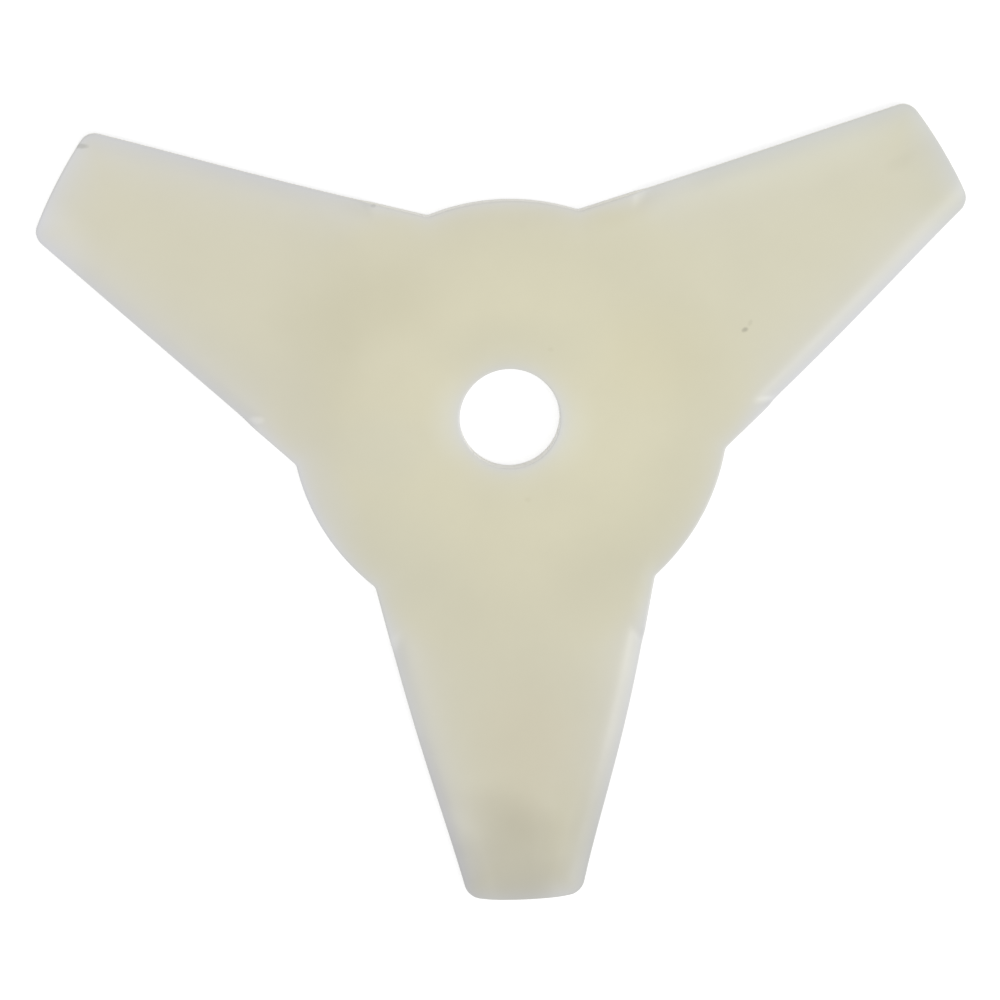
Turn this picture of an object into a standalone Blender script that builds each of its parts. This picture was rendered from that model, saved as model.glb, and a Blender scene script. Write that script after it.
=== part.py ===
# Three-armed brush cutter blade, moulded in one piece from ivory nylon.
#
# A flat plate with a round hub, a plain bore and tapering arms. Both long edges of each arm are
# bevelled from both faces down to a narrow land, so the blade cuts either way round and either
# face up. Each bevel starts at a slanted shoulder just outside the hub and runs off the tip.
#
# Frame: the plate lies in XY, +Z leaves the upper face, and the origin is on the bore's axis at
# mid-thickness. One arm points along -Y.

import math

import bmesh
import bpy
from mathutils import Matrix, Vector

# Driving dimensions, in metres and degrees
OUTER_DIAMETER = 0.255  # circle that the tip ends lie on
HUB_DIAMETER = 0.1105
BORE_DIAMETER = 0.0254
THICKNESS = 0.005
ARM_COUNT = 3
FIRST_ARM_ANGLE = -90.0
ARM_ROOT_WIDTH = 0.0712  # chord of the hub circle between the arm's two edges
ARM_TIP_WIDTH = 0.0298  # chord of the tip circle between them, before its corners are rounded
TIP_CORNER_RADIUS = 0.0041
ROOT_FILLET_RADIUS = 0.0025
BEVEL_WIDTH = 0.0034  # seen square to the plate
EDGE_LAND = 0.001  # thickness left at the cutting edge
BEVEL_START = 0.062  # from the bore's axis to the shoulder's inner corner
SHOULDER_SLANT = 45.0  # how far the shoulder leans along the edge as it crosses the bevel
SHOULDER_LEAN = 45.0  # how far it leans back towards the hub as it rises from the bevel
RIM_RADIUS = 0.0005  # round on the plate's outer rims
BORE_CHAMFER = 0.0006

# How finely arcs are drawn: the furthest a chord may cut inside its arc
ARC_SAG = 0.00002
RIM_SEGMENTS = 3

# Ivory nylon, linear colour
NYLON_COLOUR = (0.665, 0.631, 0.474, 1.0)
NYLON_ROUGHNESS = 0.38
NYLON_IOR = 1.53

# Values that follow
OUTER_RADIUS = OUTER_DIAMETER / 2
HUB_RADIUS = HUB_DIAMETER / 2
BORE_RADIUS = BORE_DIAMETER / 2
HALF_THICKNESS = THICKNESS / 2
ARM_PITCH = 2 * math.pi / ARM_COUNT
BEVEL_DEPTH = (THICKNESS - EDGE_LAND) / 2
BEVEL_ANGLE = math.atan2(BEVEL_DEPTH, BEVEL_WIDTH)


def point_on_circle(radius, half_width):
    """Point of a circle round the bore's axis that lies half_width above the arm's centre line."""
    return Vector((math.sqrt(radius ** 2 - half_width ** 2), half_width))


# One arm is drawn along +X. These describe its upper edge, as a line from the hub to the tip.
EDGE_ROOT = point_on_circle(HUB_RADIUS, ARM_ROOT_WIDTH / 2)
EDGE_TIP = point_on_circle(OUTER_RADIUS, ARM_TIP_WIDTH / 2)
EDGE_DIRECTION = (EDGE_TIP - EDGE_ROOT).normalized()
EDGE_OUTWARD = Vector((-EDGE_DIRECTION.y, EDGE_DIRECTION.x))


def point_beside_edge(outward, distance):
    """Point that lies outward from the edge line and at a given distance from the bore's axis."""
    start = EDGE_ROOT + EDGE_OUTWARD * outward
    along = start.dot(EDGE_DIRECTION)
    run = -along + math.sqrt(along ** 2 - start.length_squared + distance ** 2)
    return start + EDGE_DIRECTION * run


def angle_of(vector):
    return math.atan2(vector.y, vector.x)


def arc_steps(radius, sweep):
    """How many chords an arc needs to stay within ARC_SAG of the true curve."""
    step = 2 * math.acos(1 - ARC_SAG / radius)
    return max(2, math.ceil(abs(sweep) / step))


def arc(centre, radius, start, end):
    """Points of an arc, without its first, so that arcs can follow one another."""
    steps = arc_steps(radius, end - start)
    points = []
    for i in range(1, steps + 1):
        angle = start + (end - start) * i / steps
        points.append(centre + radius * Vector((math.cos(angle), math.sin(angle))))
    return points


def half_arm_outline():
    """The outline from the arm's centre line at the tip round to the middle of the next gap."""
    axis = Vector((0.0, 0.0))
    corner = point_beside_edge(-TIP_CORNER_RADIUS, OUTER_RADIUS - TIP_CORNER_RADIUS)
    fillet = point_beside_edge(ROOT_FILLET_RADIUS, HUB_RADIUS + ROOT_FILLET_RADIUS)
    outward = angle_of(EDGE_OUTWARD)
    points = arc(axis, OUTER_RADIUS, 0.0, angle_of(corner))
    points += arc(corner, TIP_CORNER_RADIUS, angle_of(corner), outward)
    points.append(fillet - EDGE_OUTWARD * ROOT_FILLET_RADIUS)
    points += arc(fillet, ROOT_FILLET_RADIUS, outward - math.pi, angle_of(fillet) - math.pi)
    points += arc(axis, HUB_RADIUS, angle_of(fillet), ARM_PITCH / 2)
    return points


def blade_outline():
    """The whole outline, counter-clockwise: each arm is a half, its mirror image and its tip."""
    half = half_arm_outline()
    mirrored = [Vector((point.x, -point.y)) for point in reversed(half[:-1])]
    arm = mirrored + [Vector((OUTER_RADIUS, 0.0))] + half
    outline = []
    for i in range(ARM_COUNT):
        turn = Matrix.Rotation(math.radians(FIRST_ARM_ANGLE) + i * ARM_PITCH, 2)
        outline += [turn @ point for point in arm]
    return outline


def nylon_material():
    material = bpy.data.materials.new("ivory_nylon")
    material.use_nodes = True
    shader = material.node_tree.nodes["Principled BSDF"]
    shader.inputs["Base Color"].default_value = NYLON_COLOUR
    shader.inputs["Roughness"].default_value = NYLON_ROUGHNESS
    shader.inputs["Metallic"].default_value = 0.0
    shader.inputs["IOR"].default_value = NYLON_IOR
    material.diffuse_color = NYLON_COLOUR
    material.roughness = NYLON_ROUGHNESS
    return material


def new_collection(name):
    collection = bpy.data.collections.new(name)
    bpy.context.scene.collection.children.link(collection)
    return collection


def evaluated_mesh(obj):
    """The object's shape with its modifiers applied, as a mesh of its own."""
    bpy.context.view_layer.update()
    depsgraph = bpy.context.evaluated_depsgraph_get()
    return bpy.data.meshes.new_from_object(obj.evaluated_get(depsgraph))


def build_plate(collection):
    """The flat outline as a 2D curve, thickened about its own plane and made a welded mesh."""
    outline = blade_outline()
    curve = bpy.data.curves.new("blade_outline", "CURVE")
    curve.dimensions = "2D"
    curve.fill_mode = "BOTH"
    curve.extrude = HALF_THICKNESS
    spline = curve.splines.new("POLY")
    spline.points.add(len(outline) - 1)
    for spline_point, point in zip(spline.points, outline):
        spline_point.co = (point.x, point.y, 0.0, 1.0)
    spline.use_cyclic_u = True
    drawing = bpy.data.objects.new("blade_outline", curve)
    collection.objects.link(drawing)

    plate = bpy.data.objects.new("blade", evaluated_mesh(drawing))
    collection.objects.link(plate)
    plate.matrix_world = drawing.matrix_world
    bpy.data.objects.remove(drawing)
    weld_plate(plate.data)
    return plate


def weld_plate(mesh):
    """Joins the curve's loose caps to its wall, and makes each cap a single flat face."""
    shape = bmesh.new()
    shape.from_mesh(mesh)
    bmesh.ops.remove_doubles(shape, verts=shape.verts, dist=ARC_SAG / 4)
    inner = [edge for edge in shape.edges if edge.is_manifold and lies_in_cap(edge)]
    bmesh.ops.dissolve_edges(shape, edges=inner, use_verts=False)
    bmesh.ops.recalc_face_normals(shape, faces=shape.faces)
    shape.to_mesh(mesh)
    shape.free()


def lies_in_cap(edge):
    """True for an edge between two triangles of one flat cap."""
    return all(abs(face.normal.z) > 0.9 for face in edge.link_faces)


def round_rims(plate):
    """Rounds the plate's two outer rims, and leaves the corners of its outline as drawn."""
    bevel = plate.modifiers.new("rims", "BEVEL")
    bevel.width = RIM_RADIUS
    bevel.segments = RIM_SEGMENTS
    bevel.limit_method = "ANGLE"
    bevel.angle_limit = math.radians(60)


def add_cutter(name, mesh, collection):
    cutter = bpy.data.objects.new(name, mesh)
    cutter.display_type = "WIRE"
    cutter.hide_render = True
    collection.objects.link(cutter)
    return cutter


def add_bore_cutter(collection):
    """A turned plug through the hub, flared at both faces to chamfer the bore's rims."""
    reach = HALF_THICKNESS + BORE_CHAMFER
    flare = BORE_RADIUS + 2 * BORE_CHAMFER
    neck = HALF_THICKNESS - BORE_CHAMFER
    profile = [(0, reach), (flare, reach), (BORE_RADIUS, neck), (BORE_RADIUS, -neck)]
    profile += [(flare, -reach), (0, -reach)]
    mesh = bpy.data.meshes.new("bore_cutter")
    edges = [(i, i + 1) for i in range(len(profile) - 1)]
    mesh.from_pydata([(x, 0.0, z) for x, z in profile], edges, [])
    cutter = add_cutter("bore_cutter", mesh, collection)
    turn = cutter.modifiers.new("turn", "SCREW")
    turn.axis = "Z"
    turn.steps = arc_steps(BORE_RADIUS, 2 * math.pi)
    turn.render_steps = turn.steps
    turn.use_merge_vertices = True
    turn.merge_threshold = ARC_SAG / 4
    return cutter


def bevel_cutter_mesh(side, face):
    """A slab that lies on one bevel of the arm along +X, with its root end cut to the shoulder.

    In the slab's own axes, x runs along the edge, y down the bevel and z out of it. side is 1 for
    the arm's upper edge and -1 for its lower, and face is 1 for the plate's top and -1 for its
    bottom."""
    shape = bmesh.new()
    bmesh.ops.create_cube(shape, size=1.0, matrix=Matrix.Translation((0.5, 0.5, 0.5)))
    size = (OUTER_RADIUS, 2 * BEVEL_WIDTH / math.cos(BEVEL_ANGLE), THICKNESS, 1.0)
    shoulder = Matrix.Identity(4)
    shoulder[0][1] = math.tan(math.radians(SHOULDER_SLANT))
    shoulder[0][2] = -math.tan(math.radians(SHOULDER_LEAN))
    inner_corner = point_beside_edge(-BEVEL_WIDTH, BEVEL_START)
    place = Matrix.Translation((inner_corner.x, inner_corner.y, HALF_THICKNESS))
    along_edge = Matrix.Rotation(angle_of(EDGE_DIRECTION), 4, "Z")
    down_bevel = Matrix.Rotation(-BEVEL_ANGLE, 4, "X")
    mirror = Matrix.Diagonal((1, side, face, 1))
    shape.transform(mirror @ place @ along_edge @ down_bevel @ shoulder @ Matrix.Diagonal(size))
    if side * face < 0:  # a single mirroring turns the slab inside out
        bmesh.ops.reverse_faces(shape, faces=shape.faces)
    mesh = bpy.data.meshes.new("bevel_cutter")
    shape.to_mesh(mesh)
    shape.free()
    return mesh


def add_bevel_cutters(collection):
    """One cutter for each edge of each arm, on both faces. Arms share their cutters' meshes."""
    for side, side_name in ((1, "left"), (-1, "right")):
        for face, face_name in ((1, "top"), (-1, "bottom")):
            mesh = bevel_cutter_mesh(side, face)
            for i in range(ARM_COUNT):
                name = f"bevel_cutter_{i + 1}_{side_name}_{face_name}"
                cutter = add_cutter(name, mesh, collection)
                cutter.rotation_euler.z = math.radians(FIRST_ARM_ANGLE) + i * ARM_PITCH


def cut_plate(plate, cutters):
    """Cuts the bore and every bevel in one go, then keeps the result as the plate's own mesh."""
    cut = plate.modifiers.new("bore_and_bevels", "BOOLEAN")
    cut.operation = "DIFFERENCE"
    cut.solver = "EXACT"
    cut.operand_type = "COLLECTION"
    cut.collection = cutters
    drawn = plate.data
    plate.data = evaluated_mesh(plate)
    plate.modifiers.clear()
    bpy.data.meshes.remove(drawn)
    plate.data.name = plate.name


def main():
    for obj in list(bpy.data.objects):
        bpy.data.objects.remove(obj)
    parts = new_collection("brush_cutter_blade")
    cutters = new_collection("cutters")

    blade = build_plate(parts)
    round_rims(blade)
    add_bore_cutter(cutters)
    add_bevel_cutters(cutters)
    cut_plate(blade, cutters)
    blade.data.materials.clear()
    blade.data.materials.append(nylon_material())
    blade.data.shade_smooth()
    blade.data.set_sharp_from_angle(angle=math.radians(20))


main()
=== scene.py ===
# %% [markdown]
# # A nylon brush cutter blade
# This lesson dresses one moulded part: a flat ivory nylon blade with a round hub, a bore and
# three tapering arms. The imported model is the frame. It gives the blade's place and its box,
# and nothing here may leave that box.

# %% Load the frame
import math

import bpy
from mathutils import Matrix, Vector, geometry


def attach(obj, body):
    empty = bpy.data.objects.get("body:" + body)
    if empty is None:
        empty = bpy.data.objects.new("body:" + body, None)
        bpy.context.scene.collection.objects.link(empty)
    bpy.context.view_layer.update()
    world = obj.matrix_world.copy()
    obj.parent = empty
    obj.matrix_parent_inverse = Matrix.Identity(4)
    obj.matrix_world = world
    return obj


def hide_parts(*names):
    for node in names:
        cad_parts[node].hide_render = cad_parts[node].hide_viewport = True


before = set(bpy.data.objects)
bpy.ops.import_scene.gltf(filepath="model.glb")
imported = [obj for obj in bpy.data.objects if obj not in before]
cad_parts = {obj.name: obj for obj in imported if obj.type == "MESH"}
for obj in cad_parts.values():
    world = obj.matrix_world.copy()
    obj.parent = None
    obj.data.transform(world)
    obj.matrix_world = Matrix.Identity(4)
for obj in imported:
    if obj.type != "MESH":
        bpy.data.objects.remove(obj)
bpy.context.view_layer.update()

# %% [markdown]
# ## Sizes
# The real blade is a 255 mm moulding, 5 mm thick. Each long edge is bevelled from both faces to a
# 1 mm land, and the bevel begins at a slanted shoulder just outside the hub. Plain named numbers
# are kept in one place, because the sheet, the height rule and the colours all use them.
# One arm is drawn along +X and turned into place later.

# %% Name the sizes, in millimetres and degrees
OUTER_RADIUS = 127.5
HUB_RADIUS = 55.25
BORE_RADIUS = 12.7
THICKNESS = 5.0
ARM_COUNT = 3
FIRST_ARM_ANGLE = -90.0
ARM_ROOT_WIDTH = 71.2  # chord of the hub circle between the arm's two edges
ARM_TIP_WIDTH = 29.8  # chord of the tip circle between them
TIP_CORNER_RADIUS = 4.1
ROOT_FILLET_RADIUS = 2.5
BEVEL_WIDTH = 3.4
EDGE_LAND = 1.0
BEVEL_START = 62.0  # from the bore's axis to the shoulder's inner corner
SHOULDER_SLANT = 45.0
SHOULDER_LEAN = 45.0
RIM_RADIUS = 0.5
BEVEL_SOFTNESS = 1.3  # how widely the moulding rounds the bevel into the face, at the shoulder
TIP_SOFTENING = 0.03  # how much wider for each millimetre along the edge towards the tip
SHOULDER_SOFTNESS = 2.4
MM = 0.001
INSIDE = 0.01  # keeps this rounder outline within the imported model's faceted one


def circle_point(radius, half_width):
    """The point of a circle round the bore's axis that lies half_width above the centre line."""
    return Vector((math.sqrt(radius ** 2 - half_width ** 2), half_width))


edge_root = circle_point(HUB_RADIUS, ARM_ROOT_WIDTH / 2)
edge_tip = circle_point(OUTER_RADIUS, ARM_TIP_WIDTH / 2)
edge_direction = (edge_tip - edge_root).normalized()
edge_outward = Vector((-edge_direction.y, edge_direction.x))


def beside_edge(outward, distance):
    """The point that lies outward from the edge line and at this distance from the axis."""
    start = edge_root + edge_outward * outward
    along = start.dot(edge_direction)
    return start + edge_direction * (math.sqrt(along ** 2 - start.length_squared + distance ** 2) - along)


def angle_of(vector):
    return math.atan2(vector.y, vector.x)


corner_centre = beside_edge(-TIP_CORNER_RADIUS, OUTER_RADIUS - TIP_CORNER_RADIUS)
fillet_centre = beside_edge(ROOT_FILLET_RADIUS, HUB_RADIUS + ROOT_FILLET_RADIUS)
shoulder_corner = beside_edge(-BEVEL_WIDTH, BEVEL_START)
print("each arm narrows by", round(2 * math.degrees(-angle_of(edge_direction)), 1), "degrees")

# %% [markdown]
# ## The flat sheet
# The blade repeats itself twelve times: three arms, each with two mirrored halves and two faces.
# So only one half of one arm is drawn, flat, from the arm's centre line to the middle of the next
# gap. Points are wanted where the surface will bend, which is near the rims, so they are laid in
# rows that follow the outline at growing distances. A constrained Delaunay net then joins them,
# which is simpler than a grid of quads round such an outline, and a flat face doesn't mind it.

# %% Lay rows of points inside the outline
TIP_STEPS, CORNER_STEPS, HUB_STEPS, BORE_STEPS, RIM_STEPS = 14, 10, 20, 18, 4  # points along each arc
SMALLEST_CORNER = 0.4  # rows further in than this leaves of the corner's radius have no corner arc
ROOT_STEP = 0.7  # between points along an edge, from the hub to the shoulder
CLOSE_STEP = 0.3  # the same round the shoulder
CLOSE_START = -3.0  # where the close points start, from the shoulder's corner
CLOSE_COUNT = 38
GROWTH_START = 8.0  # from here the steps grow towards the tip
GROWTH = 0.1
WIDEST_STEP = 1.2
LAST_GAP = 1.6
rim_rows = [RIM_RADIUS * (1 - math.cos(math.radians(90) * i / RIM_STEPS)) for i in range(RIM_STEPS + 1)]
bevel_rows = [0.9, 1.35, 1.8, 2.2, 2.6, 3.0, 3.4, 3.8, 4.2, 4.6, 5.1, 5.9, 6.8]


def arc_points(centre, radius, start, end, steps):
    turns = [start + (end - start) * i / steps for i in range(steps + 1)]
    return [centre + radius * Vector((math.cos(turn), math.sin(turn))) for turn in turns]


def edge_stations():
    """Distances along the straight edge from the shoulder's corner, closest near the shoulder."""
    first = (fillet_centre - shoulder_corner).dot(edge_direction)
    last = (corner_centre - shoulder_corner).dot(edge_direction)
    stations = [first + ROOT_STEP * i for i in range(1, int((CLOSE_START - first) / ROOT_STEP))]
    stations += [CLOSE_START + CLOSE_STEP * i for i in range(CLOSE_COUNT)]
    place = stations[-1]
    while place + LAST_GAP < last:
        place += min(WIDEST_STEP, CLOSE_STEP + GROWTH * (place - GROWTH_START))
        stations.append(place)
    return stations


stations = edge_stations()
axis = Vector((0.0, 0.0))
outward_angle = angle_of(edge_outward)


def outline_row(inset):
    """The half arm's outline, moved inwards by inset, from the centre line to the gap's middle."""
    row = arc_points(axis, OUTER_RADIUS - inset, 0.0, angle_of(corner_centre), TIP_STEPS)
    if inset < TIP_CORNER_RADIUS - SMALLEST_CORNER:
        row += arc_points(corner_centre, TIP_CORNER_RADIUS - inset, angle_of(corner_centre),
                          outward_angle, CORNER_STEPS)[1:]
    edge = [shoulder_corner + edge_direction * s + edge_outward * (BEVEL_WIDTH - inset) for s in stations]
    row += reversed(edge)
    row += arc_points(fillet_centre, ROOT_FILLET_RADIUS + inset, outward_angle - math.pi,
                      angle_of(fillet_centre) - math.pi, CORNER_STEPS)
    row += arc_points(axis, HUB_RADIUS - inset, angle_of(fillet_centre), math.pi / ARM_COUNT, HUB_STEPS)[1:]
    return row


rows = [outline_row(INSIDE + inset) for inset in rim_rows + bevel_rows]
outline = rows[0]
bore_insets = rim_rows + [0.9, 1.6, 2.6, 4.0, 6.0]
bore_rows = [arc_points(axis, BORE_RADIUS + inset, 0.0, math.pi / ARM_COUNT, BORE_STEPS)
             for inset in bore_insets]
print("rows:", len(rows), "round the outline and", len(bore_rows), "round the bore;",
      len(outline), "points in each outer row")

# %% [markdown]
# The middle of the sheet gets a loose honeycomb of points, so that a value stored on them changes
# smoothly. The two straight cuts, where mirrored halves will meet, get points of their own that
# lie exactly on the cut, so that the halves weld.

# %% Fill the middle of the sheet
GRID = 3.0
LINE_PITCH = GRID * 0.866  # between lines of a honeycomb, half the square root of three
RIM_CLEARANCE = 7.5  # the loose points start this far inside a rim
CUT_CLEARANCE = 0.4 * GRID
CUT_END_CLEARANCE = 7.0
gap_direction = Vector((math.cos(math.pi / ARM_COUNT), math.sin(math.pi / ARM_COUNT)))


def rim_distance(point):
    """How far a point lies from the nearest free edge, outer or bore."""
    return min(min((point - rim).length for rim in outline), point.length - BORE_RADIUS)


def is_in_blade(point):
    beside_arm = (point - edge_root).dot(edge_outward)
    return point.length < HUB_RADIUS or (beside_arm < 0 and point.length < OUTER_RADIUS)


points = [point for row in rows + bore_rows for point in row]
for line in range(1, int(OUTER_RADIUS / GRID)):
    for column in range(int(OUTER_RADIUS / GRID)):
        point = Vector((GRID * (column + 0.5 * (line % 2)), LINE_PITCH * line))
        inside = is_in_blade(point) and point.length > BORE_RADIUS
        if inside and point.cross(gap_direction) > CUT_CLEARANCE and rim_distance(point) > RIM_CLEARANCE:
            points.append(point)
cut_start = BORE_RADIUS + bore_insets[-1] + GRID


def along_cut(direction, end):
    """Points on a cut, from near the bore to near the rim at its end."""
    count = int((end - CUT_END_CLEARANCE - cut_start) / GRID)
    return [direction * (cut_start + GRID * i) for i in range(count)]


points += along_cut(Vector((1.0, 0.0)), OUTER_RADIUS) + along_cut(gap_direction, HUB_RADIUS)
print("points in the sheet:", len(points))

# %% [markdown]
# The net needs its border as fixed edges: the outline, the bore and the two cuts, in order round
# the sheet. Each point also stores how far it lies from the nearest free edge. The height rule
# rounds the rims by that distance, and the nylon turns paler by it.

# %% Join the points into a net
ON_CUT = 1e-4  # nearer to a cut than this is on it
INSIDE_BORDER = 1  # the net's own word for keeping only the faces inside the border
SAME_PLACE = 1e-5


def order_round_border():
    """Numbers of the border's points, once round the sheet."""
    centre, gap = [], []
    for number, point in enumerate(points):
        if abs(point.y) < ON_CUT:
            centre.append((point.length, number))
        elif abs(point.cross(gap_direction)) < ON_CUT:
            gap.append((point.length, number))
    first_bore = sum(len(row) for row in rows)
    bore = list(range(first_bore, first_bore + len(bore_rows[0])))
    inwards = [number for _, number in sorted(gap, reverse=True)]
    outwards = [number for _, number in sorted(centre)]
    return list(range(len(outline))) + inwards[1:-1] + bore[::-1] + outwards[1:-1]


border = order_round_border()
border_edges = list(zip(border, border[1:] + border[:1]))
net = geometry.delaunay_2d_cdt(points, border_edges, [], INSIDE_BORDER, SAME_PLACE)
sheet_points, sheet_faces = net[0], net[2]
upward = [face if geometry.normal([sheet_points[i].to_3d() for i in face]).z > 0 else face[::-1]
          for face in sheet_faces]
sheet_mesh = bpy.data.meshes.new("half_arm_sheet")
sheet_mesh.from_pydata([(point.x * MM, point.y * MM, 0.0) for point in sheet_points], [], upward)
stored = sheet_mesh.attributes.new("rim_distance", "FLOAT", "POINT")
stored.data.foreach_set("value", [max(0.0, rim_distance(point)) * MM for point in sheet_points])
sheet = bpy.data.objects.new("half_arm_sheet", sheet_mesh)
bpy.context.scene.collection.objects.link(sheet)
print("sheet:", len(sheet_mesh.polygons), "triangles for one twelfth of the blade")

# %% [markdown]
# ## Helpers for node trees
# Geometry Nodes and material nodes share these few helpers. Each writes one node, joins what it
# is given and hands back what comes out, so that the rules below read like sums.

# %% Make the node helpers
def add_node(tree, kind, **settings):
    node = tree.nodes.new(kind)
    for name, value in settings.items():
        setattr(node, name, value)
    return node


def feed(tree, socket, value):
    """Joins another node's output to a socket, or sets the socket's plain value."""
    if isinstance(value, bpy.types.NodeSocket):
        tree.links.new(value, socket)
    else:
        socket.default_value = value


def calc(tree, operation, *values):
    """One sum on numbers, as a Math node."""
    node = add_node(tree, "ShaderNodeMath", operation=operation)
    for socket, value in zip(node.inputs, values):
        feed(tree, socket, value)
    return node.outputs[0]


def vector_calc(tree, operation, *values):
    """One sum on vectors, as a Vector Math node."""
    node = add_node(tree, "ShaderNodeVectorMath", operation=operation)
    for socket, value in zip(node.inputs, values):
        feed(tree, socket, value)
    return node.outputs["Value" if operation in ("DOT_PRODUCT", "LENGTH") else "Vector"]


def new_group(name, kind, inputs, outputs):
    """A node group with named sockets, with its inputs' outlets and its outputs' inlets."""
    tree = bpy.data.node_groups.new(name, kind)
    for title, socket_type, value in inputs:
        socket = tree.interface.new_socket(title, in_out="INPUT", socket_type=socket_type)
        if value is not None:
            socket.default_value = value
    for title, socket_type in outputs:
        tree.interface.new_socket(title, in_out="OUTPUT", socket_type=socket_type)
    return tree, add_node(tree, "NodeGroupInput").outputs, add_node(tree, "NodeGroupOutput").inputs


print("helpers: add_node, feed, calc, vector_calc, new_group")

# %% [markdown]
# ## The height rule
# The mould leaves the plate's face flat, drops it down the bevel towards the cutting edge, and
# stops the bevel at a shoulder that slants across the edge and leans back to the hub. Boolean
# cutters could make that with sharp arrises, but nylon comes out of the mould softly rounded. A
# height rule does both: the surface is the lowest of the face and of whichever is higher, the
# bevel or the shoulder. Smooth minimum and maximum round the places where two of them meet. The
# line between bevel and face is crisp near the shoulder and melts away towards the tip.

# %% Build the tree: height of the upper face
blade_tree, given, made = new_group("blade_from_half_arm", "GeometryNodeTree", [
    ("Geometry", "NodeSocketGeometry", None),
    ("Thickness", "NodeSocketFloat", 0.005),
    ("Edge Land", "NodeSocketFloat", 0.001),
    ("Bevel Width", "NodeSocketFloat", 0.003),
    ("Bevel Softness", "NodeSocketFloat", 0.001),
    ("Tip Softening", "NodeSocketFloat", 0.0),
    ("Shoulder Softness", "NodeSocketFloat", 0.002),
    ("Rim Radius", "NodeSocketFloat", 0.0005),
    ("Shoulder Corner", "NodeSocketVector", None),
    ("Edge Direction", "NodeSocketVector", None),
    ("Shoulder Slant", "NodeSocketFloat", 0.785),
    ("Shoulder Lean", "NodeSocketFloat", 0.785),
    ("Arms", "NodeSocketInt", 3),
    ("First Arm Angle", "NodeSocketFloat", 0.0),
    ("Material", "NodeSocketMaterial", None),
], [("Geometry", "NodeSocketGeometry")])
blade_tree.is_modifier = True


def height_of_face(tree):
    """The upper face's height over mid-thickness, before its rims are rounded."""
    position = add_node(tree, "GeometryNodeInputPosition").outputs[0]
    from_corner = vector_calc(tree, "SUBTRACT", position, given["Shoulder Corner"])
    outward = vector_calc(tree, "CROSS_PRODUCT", (0.0, 0.0, 1.0), given["Edge Direction"])
    along = vector_calc(tree, "DOT_PRODUCT", from_corner, given["Edge Direction"])
    beside = vector_calc(tree, "DOT_PRODUCT", from_corner, outward)
    depth = calc(tree, "MULTIPLY", calc(tree, "SUBTRACT", given["Thickness"], given["Edge Land"]), 0.5)
    slope = calc(tree, "DIVIDE", depth, given["Bevel Width"])
    bevel_angle = calc(tree, "ARCTANGENT", slope)
    cosine = calc(tree, "COSINE", bevel_angle)
    sine = calc(tree, "SINE", bevel_angle)
    slant = calc(tree, "TANGENT", given["Shoulder Slant"])
    lean = calc(tree, "TANGENT", given["Shoulder Lean"])
    across = calc(tree, "SUBTRACT", calc(tree, "MULTIPLY", slant, cosine), calc(tree, "MULTIPLY", lean, sine))
    steep = calc(tree, "ADD", calc(tree, "MULTIPLY", slant, sine), calc(tree, "MULTIPLY", lean, cosine))
    bevel = calc(tree, "MULTIPLY", calc(tree, "MULTIPLY", beside, slope), -1.0)
    shoulder = calc(tree, "SUBTRACT", calc(tree, "MULTIPLY", beside, across), along)
    shoulder = calc(tree, "DIVIDE", shoulder, steep)
    cut = calc(tree, "SMOOTH_MAX", bevel, shoulder, given["Shoulder Softness"])
    towards_tip = calc(tree, "MAXIMUM", along, 0.0)
    softness = calc(tree, "MULTIPLY_ADD", towards_tip, given["Tip Softening"], given["Bevel Softness"])
    dip = calc(tree, "SMOOTH_MIN", cut, 0.0, softness)
    return calc(tree, "ADD", dip, calc(tree, "MULTIPLY", given["Thickness"], 0.5))


def stored_rim_distance(tree):
    node = add_node(tree, "GeometryNodeInputNamedAttribute", data_type="FLOAT")
    node.inputs["Name"].default_value = "rim_distance"
    return node.outputs["Attribute"]


face_height = height_of_face(blade_tree)
print("nodes of the height rule:", len(blade_tree.nodes))

# %% [markdown]
# A rim is rounded by lowering points near it along a quarter of an ellipse. On the thin cutting
# edge the round has to be flatter, so that some of the land is left standing. The wall below it
# is pulled out of the border's edges and pressed flat onto the parting plane at mid-thickness.

# %% Build the tree: rims and walls
ROUND_SHARE = 0.6  # the most that a rim's round may take of the height under it
ON_RIM = 1e-6


def rounded(tree, height):
    """The height with its rim rounded off."""
    share = calc(tree, "DIVIDE", stored_rim_distance(tree), given["Rim Radius"])
    outside = calc(tree, "SUBTRACT", 1.0, calc(tree, "MINIMUM", share, 1.0))
    level = calc(tree, "SQRT", calc(tree, "SUBTRACT", 1.0, calc(tree, "MULTIPLY", outside, outside)))
    reach = calc(tree, "MINIMUM", given["Rim Radius"], calc(tree, "MULTIPLY", height, ROUND_SHARE))
    return calc(tree, "SUBTRACT", height, calc(tree, "MULTIPLY", reach, calc(tree, "SUBTRACT", 1.0, level)))


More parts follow.
